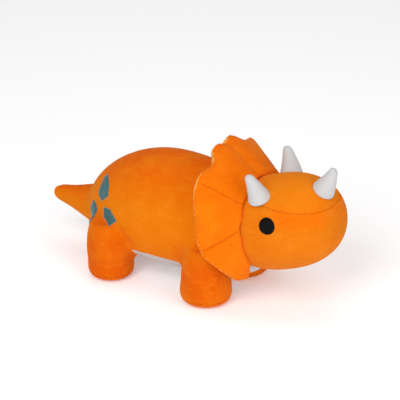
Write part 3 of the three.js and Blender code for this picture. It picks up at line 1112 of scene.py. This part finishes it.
@dataclass
class Frill:
    """The padded collar of six lobed panels, sewn along its rays, with a painted highlight along its fuzzy
    rim.

    Attributes:
        rim: The rim's places, half way round, in mm.
        rim_highlight_width: The width of the painted highlight along the rim in mm.
        fill, pinch: How far the panels swell, and how far the seams are pulled in, in mm.
        fray, fray_waves: How deep the rim's frayed edge is in mm, and its waves per metre.
        pulls: Where the rim is pulled, which way, and how widely, in mm.
        rays: The rim's places and the degrees round the head that seams run between.
        root_middle, root_lean, root_end: The root's course round the head, in mm and degrees.
        roll: The radius of the gathered root in mm.
        roll_ahead, roll_proud: How far the roll lies ahead of the root and off the head, in mm.
        head: The head that it is sewn to.
    """

    rim: Sequence[tuple[float, float, float]] = (
        (29, 0, 146), (29.5, 7, 144.5), (34, 23.5, 134.5), (30.5, 44.5, 127), (30, 50, 124), (31, 53, 116),
        (34.5, 55.5, 95), (39, 60, 73), (41.5, 61, 65), (45, 60.5, 59.5), (59, 56.5, 49), (67.5, 42, 34.5),
        (71.5, 29, 32),
    )
    rim_highlight_width: float = 4.4
    fill: float = 2.2
    pinch: float = 0.9
    fray: float = 0.3
    fray_waves: Sequence[Sequence[float]] = ((1900.0, 700.0, 1300.0), (-900.0, 2300.0, 1700.0))
    root_middle: float = -25.5
    root_lean: float = 9.5
    root_end: float = 128.0
    roll: float = 2.7
    roll_ahead: float = 1.5
    roll_proud: float = 1.0
    head: HeadCover = field(default_factory=HeadCover)
    pulls: Sequence[tuple[Sequence[float], Sequence[float], float]] = (
        ((32, 14, 141), (-3.2, 1.5, 0.3), 9),
        ((29, 0, 146), (0, 0, -2.4), 8),
        ((33, 31, 131), (1.5, -1.0, -1.5), 7),
    )
    rays: Sequence[tuple[int, float]] = ((0, 0), (4, 46), (8, 72))

    def build(self, pile: bpy.types.Material, rim: bpy.types.Material) -> bpy.types.Object:
        """Builds the collar from its panels' own space.

        Args:
            pile: The panels' pile.
            rim: The rim's pile, lighter as a painted highlight.

        Returns:
            The finished collar.
        """
        bands = ("lower", "middle", "upper")
        names = [f"frill_{band}_{hand}" for band in bands for hand in ("right", "left")]
        copies = []
        for name in (*names, "frill_lining"):
            copy = bpy.data.objects[name].copy()
            copy.data = copy.data.copy()
            for key in list(copy.keys()):
                del copy[key]
            bpy.context.scene.collection.objects.link(copy)
            copy.hide_render = False
            copies.append(copy)
        frill = join([*copies, self._root_roll()], "frill_cover")
        frill.data.materials.clear()
        activate(frill)
        bpy.ops.object.mode_set(mode="EDIT")
        bpy.ops.mesh.select_all(action="SELECT")
        bpy.ops.mesh.remove_doubles(threshold=1e-5)
        bpy.ops.object.mode_set(mode="OBJECT")
        remesh(frill, Voxel.FRILL, 4)
        inflate(frill, 3.0, 0.6 * MM)
        self._puff(frill)
        self._sew_rays(frill)
        self._paint_rim_highlight(frill, pile, rim)
        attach(frill, "head")
        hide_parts(*names, "frill_lining")
        return frill

    def _root_roll(self) -> bpy.types.Object:
        """Rolls the collar's gathered root, which lies against the head.

        Returns:
            The roll as a mesh.
        """
        steps = 96
        line = bpy.data.curves.new("root_roll", "CURVE")
        line.dimensions = "3D"
        line.bevel_depth = self.roll * MM
        line.bevel_resolution = 3
        line.use_fill_caps = True
        spline = line.splines.new("POLY")
        spline.points.add(steps)
        for index, point in enumerate(spline.points):
            degrees = -self.root_end + 2 * self.root_end * index / steps
            middle = self.root_middle + self.roll_ahead
            point.co = (*self._root(degrees, Side.LEFT, middle, self.roll_proud), 1)
        roll = bpy.data.objects.new("root_roll", line)
        bpy.context.scene.collection.objects.link(roll)
        activate(roll)
        bpy.ops.object.convert(target="MESH")
        return bpy.context.object

    def _root(self, degrees: float, side: Side, middle: float, proud: float) -> Vector:
        """A place on the head where the collar's root lies.

        Args:
            degrees: How far round the head, from the top.
            side: The hand that it lies on.
            middle: Where the root's middle lies along the head's axis, in mm.
            proud: How far off the head's surface it is, in mm.

        Returns:
            The place in metres.
        """
        head = self.head
        turn = math.radians(degrees)
        share = (middle + self.root_lean * math.cos(turn)) / (head.length / 2)
        radius = (1 - abs(share) ** head.power) ** (1 / head.power)
        left = side.value * (head.width / 2 + proud) * radius * math.sin(turn)
        return (
            at(head.x, 0, head.z)
            + head.along * (head.length / 2) * share * MM
            + Vector((0, left * MM, 0))
            + head.up * (head.height / 2 + proud) * radius * math.cos(turn) * MM
        )

    def _ray(self, index: int, degrees: float, side: Side) -> tuple[Vector, Vector]:
        """One seam between two panels.

        Args:
            index: Which of the rim's places it ends at.
            degrees: How far round the head it starts, from the top.
            side: The hand that it lies on.

        Returns:
            Its start on the head, and its run to the rim.
        """
        x, y, z = self.rim[index]
        inner = self._root(degrees, side, self.root_middle, 0.0)
        return inner, at(x, y * side.value, z) - inner

    def _all_rays(self) -> list[tuple[Vector, Vector]]:
        """Every seam between two panels."""
        return [
            self._ray(index, degrees, side)
            for index, degrees in self.rays
            for side in (Side if degrees else (Side.LEFT,))
        ]

    def _rim_line(self) -> list[tuple[Vector, Vector]]:
        """The rim as short straight runs.

        Returns:
            Each run's start and its length and direction.
        """
        runs = []
        for side in Side:
            line = [at(x, y * side.value, z) for x, y, z in self.rim]
            runs += [(a, b - a) for a, b in zip(line, line[1:])]
        return runs

    @staticmethod
    def _distance(points: np.ndarray, runs: list[tuple[Vector, Vector]]) -> np.ndarray:
        """How far each point lies from the nearest of several straight runs.

        Args:
            points: One row for each point.
            runs: The runs, each as its start and its length and direction.

        Returns:
            One distance for each point, in metres.
        """
        nearest = np.full(len(points), 1.0)
        for start, run in runs:
            a, r = np.array(start), np.array(run)
            share = np.clip((points - a) @ r / (r @ r), 0, 1)
            nearest = np.minimum(nearest, np.linalg.norm(points - a - np.outer(share, r), axis=1))
        return nearest

    def _puff(self, frill: bpy.types.Object) -> None:
        """Fills each panel between its seams and pinches the rim.

        Args:
            frill: The collar's skin.
        """
        points = coordinates(frill)
        normals = normals_of(frill)
        seam = np.clip(self._distance(points, self._all_rays()) / (13 * MM), 0, 1)
        rim = np.clip(self._distance(points, self._rim_line()) / (9 * MM), 0, 1)
        filled = np.sin(seam * math.pi / 2) * np.sin(rim * math.pi / 2)
        points = points + normals * ((filled * self.fill - self.pinch * (1 - seam)) * MM)[:, None]
        edge = np.exp(-((self._distance(points, self._rim_line()) / (3.2 * MM)) ** 2))
        fray = sum(np.sin(points @ np.array(wave)) for wave in self.fray_waves)
        points = points + normals * (edge * fray * self.fray * MM)[:, None]
        mark_points(frill, "from_rim", self._distance(points, self._rim_line()))
        for place, pull, reach in self.pulls:
            for side in Side:
                centre = np.array(at(place[0], place[1] * side.value, place[2]))
                near = np.exp(-((np.linalg.norm(points - centre, axis=1) / (reach * MM)) ** 2))
                points += near[:, None] * np.array([pull[0], pull[1] * side.value, pull[2]]) * MM
        place_points(frill, points)

    def _sew_rays(self, frill: bpy.types.Object) -> None:
        """Sinks the seams between the panels.

        Args:
            frill: The collar's skin.
        """
        for inner, ray in self._all_rays():
            def beside(point: Vector, start: Vector = inner, run: Vector = ray) -> bool:
                """Whether a point lies near this seam."""
                share = (point - start).dot(run) / run.length_squared
                return -0.1 < share < 1.1 and (point - start - run * share).length < 9 * MM

            sew_line(frill, inner, ray.cross(self.head.along).normalized(), 1.0 * MM, beside)

    def _paint_rim_highlight(self, frill: bpy.types.Object, pile: bpy.types.Material, rim: bpy.types.Material) -> None:
        """Gives the faces near the rim the lighter pile of the painted highlight and the others the pile.

        Args:
            frill: The collar.
            pile: The panels' pile.
            rim: The rim's pile, lighter as a painted highlight.
        """
        dress(frill, pile)
        frill.data.materials.append(rim)
        from_rim = np.empty(len(frill.data.vertices))
        frill.data.attributes["from_rim"].data.foreach_get("value", from_rim)
        # Painted highlight: faces near the rim take the lighter rim pile.
        near = np.array([from_rim[face.vertices[0]] for face in frill.data.polygons]) < self.rim_highlight_width * MM
        frill.data.polygons.foreach_set("material_index", near.astype(np.int32))


@dataclass
class Horn:
    """A small stuffed horn with a rounded, slightly bent tip.

    Attributes:
        name: The body's name.
        root: Where it stands on the head.
        lean: The way it points.
        bend: How far its tip is bent towards the tail, in mm.
        base: The radius of its base in mm.
        length: Its length in mm.
    """

    name: str
    root: Vector
    lean: Vector
    bend: float = 2.6
    base: float = 10.8
    length: float = 24.6

    def build(self, white: bpy.types.Material) -> bpy.types.Object:
        """Builds and dresses the horn.

        Args:
            white: The white pile.

        Returns:
            The finished horn.
        """
        horn = unit_ball(f"{self.name}_cover", 40, 40)
        ball = coordinates(horn)
        share = (1 + np.clip(ball[:, 0], -1, 1)) / 2
        turn = np.arctan2(ball[:, 1], ball[:, 2])
        levels = [0, 0.05, 0.15, 0.3, 0.55, 0.8, 0.9, 0.96, 1]
        along = np.interp(share, levels, [-4, -3.6, -1.5, 3, 11, 19, 22.4, 24.0, self.length])
        radius = np.interp(share, levels, [0, 9.0, self.base, self.base - 1.2, 7.2, 4.9, 3.9, 2.4, 0])
        radius *= 1 - 0.035 * np.exp(-((turn - 0.4) / 0.09) ** 2)
        direction = self.lean.normalized()
        across = Vector((0, 1, 0)).cross(direction).normalized()
        third = direction.cross(across)
        bend = self.bend * (np.maximum(0, along) / self.length) ** 2
        points = (
            np.outer(along, direction)
            + np.outer(radius * np.cos(turn) - bend, across)
            + np.outer(radius * np.sin(turn), third)
        ) * MM + np.array(self.root)
        place_points(horn, points)
        turn_out(horn)
        apply_modifier(horn, "SMOOTH", factor=0.5, iterations=3)
        apply_modifier(horn, "SUBSURF", levels=1, render_levels=1)
        dress(horn, white)
        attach(horn, self.name)
        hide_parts(self.name)
        return horn


@dataclass
class Patch:
    """A flat shape sewn onto a cover, following it, with stitches round its edge.

    Attributes:
        name: The node that it stands for.
        corners: Its outline seen from the side, as (x, z) in mm.
        side: The hand that it lies on.
        body: The body that it rides on.
        rise: How far its middle stands proud in mm.
        edge: How wide its rounded edge is in mm.
    """

    name: str
    corners: Sequence[tuple[float, float]]
    side: Side
    body: str
    rise: float = 0.9
    edge: float = 1.3

    def build(self, ground: bpy.types.Object, material: bpy.types.Material, slot: str) -> bpy.types.Object:
        """Builds the patch on the cover under it.

        Args:
            ground: The cover that it is sewn to.
            material: Its finish.
            slot: Not used.

        Returns:
            The finished patch.
        """
        tree = BVHTree.FromObject(ground, bpy.context.evaluated_depsgraph_get())
        outline = [at(x, 0, z) for x, z in self.corners]
        middle = sum(outline, Vector()) / len(outline)
        deselect_all()
        size = 2.4 * max((p - middle).length for p in outline)
        bpy.ops.mesh.primitive_grid_add(x_subdivisions=44, y_subdivisions=44, size=size, location=middle,
                                        rotation=(math.pi / 2, 0, 0))
        patch = bpy.context.object
        patch.name = f"{self.name}_cover"
        settle(patch)
        bpy.ops.object.mode_set(mode="EDIT")
        for a, b in zip(outline, outline[1:] + outline[:1]):
            out = (b - a).cross(Vector((0, 1, 0))).normalized()
            if out.dot(middle - a) > 0:
                out = -out
            bpy.ops.mesh.select_all(action="SELECT")
            bpy.ops.mesh.bisect(plane_co=a, plane_no=out, clear_outer=True)
        bpy.ops.object.mode_set(mode="OBJECT")
        for vertex in patch.data.vertices:
            start = Vector((vertex.co.x, self.side.value * 0.2, vertex.co.z))
            hit, normal, _, _ = tree.ray_cast(start, Vector((0, -self.side.value, 0)))
            inward = min(self._from_edge(vertex.co, a, b) for a, b in zip(outline, outline[1:] + outline[:1]))
            round_edge = 1 - (1 - min(1.0, inward / (self.edge * MM))) ** 2
            if hit:
                vertex.co = hit + normal * (-0.35 + (self.rise + 0.35) * math.sqrt(max(0.0, round_edge))) * MM
        patch.data.update()
        self._turn_outwards(patch)
        give_thickness(patch, 1.0 * MM)
        dress(patch, material)
        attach(patch, self.body)
        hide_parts(self.name)
        return patch

    @staticmethod
    def _from_edge(point: Vector, a: Vector, b: Vector) -> float:
        """How far a point lies from one side of the outline, seen from the side.

        Args:
            point: The point.
            a, b: The side's two ends.

        Returns:
            The distance in metres.
        """
        step, away = b - a, point - a
        step.y = away.y = 0
        return abs(step.cross(away).y) / step.length

    def _turn_outwards(self, patch: bpy.types.Object) -> None:
        """Turns the patch's faces away from the cover.

        Args:
            patch: The patch.
        """
        if sum(face.normal.y * self.side.value for face in patch.data.polygons) < 0:
            activate(patch)
            bpy.ops.object.mode_set(mode="EDIT")
            bpy.ops.mesh.select_all(action="SELECT")
            bpy.ops.mesh.flip_normals()
            bpy.ops.object.mode_set(mode="OBJECT")

    def stitches(self, ground: bpy.types.Object, material: bpy.types.Material) -> bpy.types.Object:
        """Builds the short stitches that hold the patch down.

        Args:
            ground: The cover under the patch.
            material: The thread's finish.

        Returns:
            The stitches as one object.
        """
        tree = BVHTree.FromObject(ground, bpy.context.evaluated_depsgraph_get())
        outline = [at(x, 0, z) for x, z in self.corners]
        deselect_all()
        bpy.ops.mesh.primitive_uv_sphere_add(segments=8, ring_count=6, radius=1)
        model = bpy.context.object
        made = []
        for a, b in zip(outline, outline[1:] + outline[:1]):
            step = b - a
            count = max(1, round(step.length / (1.9 * MM)))
            for k in range(count):
                spot = a + step * ((k + 0.5) / count)
                start = Vector((spot.x, self.side.value * 0.2, spot.z))
                hit, normal, _, _ = tree.ray_cast(start, Vector((0, -self.side.value, 0)))
                if hit is None:
                    continue
                across = step.cross(normal).normalized()
                along = normal.cross(across).normalized()
                frame3 = Matrix((across * 0.95 * MM, along * 0.32 * MM, normal * 0.34 * MM)).transposed()
                stitch = model.copy()
                stitch.data = model.data.copy()
                bpy.context.scene.collection.objects.link(stitch)
                stitch.data.transform(Matrix.Translation(hit + normal * 0.25 * MM) @ frame3.to_4x4())
                made.append(stitch)
        bpy.data.objects.remove(model)
        threads = join(made, f"{self.name}_stitches")
        turn_out(threads)
        dress(threads, material)
        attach(threads, self.body)
        return threads


SPOTS: dict[str, Sequence[tuple[float, float]]] = {
    "upper": ((-80.7, 91), (-76.2, 93.5), (-69.7, 88), (-68.2, 80), (-75.7, 73), (-82.7, 77)),
    "rear": ((-88.6, 68), (-83.3, 66.5), (-81.3, 63), (-83.8, 52), (-89.2, 47), (-92.0, 50), (-92.4, 59.5)),
    "lower": ((-71.5, 69), (-63, 70), (-54.5, 62), (-61, 56.2), (-71.5, 60.5)),
}


EYE_MIDDLE = (100.7, 95.5)  # seen from the side, in mm
EYE_RADII = (8.3, 7.6)
EYE_CORNERS = 28
BROW_HORN_ROOT = (85, 29, 114.37)  # on the left, in mm
NOSE_HORN_ROOT = (135, 0, 122.81)


def eye_outline() -> list[tuple[float, float]]:
    """The round outline of an eye.

    Returns:
        Its corners as (x, z) in mm.
    """
    (x, z), (wide, high) = EYE_MIDDLE, EYE_RADII
    turns = (2 * math.pi * k / EYE_CORNERS for k in range(EYE_CORNERS))
    return [(x + wide * math.cos(t), z + high * math.sin(t)) for t in turns]


# ---------------------------------------------------------------- studio
@dataclass(frozen=True)
class Studio:
    """A pale floor, soft lights and the camera.

    Attributes:
        azimuth, elevation: The camera's direction in degrees.
        lens: Its focal length in mm.
        away: Its distance in metres.
        aim: The point that it looks at.
        lights: The soft lights as (name, place, power, size).
        room: How bright the pale room is.
    """

    azimuth: float = 30.5
    elevation: float = 26.5
    lens: float = 480.0
    away: float = 4.848
    aim: tuple[float, float, float] = (-0.0067, 0.0177, 0.0692)
    lights: Sequence[tuple[str, Sequence[float], float, float]] = (
        ("key", (0.15, -1.0, 0.9), 8.8, 0.7),
        ("fill_front", (1.15, -0.35, 0.5), 5.0, 0.9),
        ("top", (-0.1, 0.2, 1.3), 2.8, 0.9),
    )
    room: float = 0.45

    def build(self) -> None:
        """Builds the floor, the lights and the camera."""
        self._floor()
        for light in self.lights:
            self._light(*light)
        world = bpy.data.worlds.new("pale_room")
        world.use_nodes = True
        world.node_tree.nodes["Background"].inputs["Color"].default_value = (1, 1, 1, 1)
        world.node_tree.nodes["Background"].inputs["Strength"].default_value = self.room
        bpy.context.scene.world = world
        self._camera()

    def _camera(self) -> None:
        """Places the camera."""
        a, e = math.radians(self.azimuth), math.radians(self.elevation)
        back = Vector((math.sin(a) * math.cos(e), -math.cos(a) * math.cos(e), math.sin(e)))
        lens = bpy.data.cameras.new("camera")
        lens.lens = self.lens
        lens.sensor_width = 36
        camera = bpy.data.objects.new("camera", lens)
        camera.location = Vector(self.aim) + back * self.away
        camera.rotation_euler = back.to_track_quat("Z", "Y").to_euler()
        bpy.context.scene.collection.objects.link(camera)
        bpy.context.scene.camera = camera

    @staticmethod
    def _light(name: str, place: Sequence[float], power: float, size: float) -> None:
        """Hangs a soft panel that faces the toy.

        Args:
            name: The light's name.
            place: Where it hangs.
            power: Its power in watts.
            size: Its width in metres.
        """
        panel = bpy.data.lights.new(name, "AREA")
        panel.energy = power
        panel.size = size
        lamp = bpy.data.objects.new(name, panel)
        lamp.location = place
        lamp.rotation_euler = (Vector(place) - Vector((0, 0, 0.06))).to_track_quat("Z", "Y").to_euler()
        bpy.context.scene.collection.objects.link(lamp)

    @staticmethod
    def _floor() -> None:
        """Lays the pale floor."""
        deselect_all()
        bpy.ops.mesh.primitive_plane_add(size=8, location=(0, 0, 0))
        floor = bpy.context.object
        floor.name = "floor"
        paper = bpy.data.materials.new("pale_paper")
        paper.use_nodes = True
        surface = paper.node_tree.nodes["Principled BSDF"]
        surface.inputs["Base Color"].default_value = (0.95, 0.95, 0.955, 1)
        surface.inputs["Emission Color"].default_value = (1, 1, 1, 1)
        surface.inputs["Emission Strength"].default_value = 0.2
        surface.inputs["Roughness"].default_value = 0.9
        floor.data.materials.append(paper)


def main() -> None:
    """Builds the toy's pieces in order and reports each."""
    logging.basicConfig(level=logging.INFO, format="%(name)s: %(message)s")
    deselect_all()
    Studio().build()
    bpy.context.scene.view_settings.view_transform = "Standard"
    orange, white, teal, black = (finish.make() for finish in (ORANGE, WHITE, TEAL, BLACK))
    frill_pile, rim_highlight_pile, thread = FRILL_ORANGE.make(), RIM_HIGHLIGHT.make(), TEAL_THREAD.make()
    pieces = BodyCover().build(orange, white)
    head = HeadCover().build(HEAD_ORANGE.make())
    made: list[bpy.types.Object] = [*pieces.values(), head, NeckPlug().build(orange)]
    made.append(Frill().build(frill_pile, rim_highlight_pile))
    for hand, side in (("right", Side.RIGHT), ("left", Side.LEFT)):
        x, y, z = BROW_HORN_ROOT
        brow_horn = Horn(f"{hand}_brow_horn", at(x, side.value * y, z),
                         Vector((-0.25, side.value * 0.25, 0.93)))
        made.append(brow_horn.build(white))
        for spot, corners in SPOTS.items():
            patch = Patch(f"{spot}_spot_{hand}", corners, side, "torso")
            made.append(patch.build(pieces["torso"], teal, "teal_patch"))
            made.append(patch.stitches(pieces["torso"], thread))
        eye = Patch(f"{hand}_eye", eye_outline(), side, "head", rise=1.7, edge=7.0)
        made.append(eye.build(head, black, "eye_black"))
    made.append(Horn("nose_horn", at(*NOSE_HORN_ROOT), Vector((0.51, 0, 0.86))).build(white))
    for piece in made:
        LOG.info("%s: %d faces", piece.name, len(piece.data.polygons))


if __name__ == "__main__":
    main()
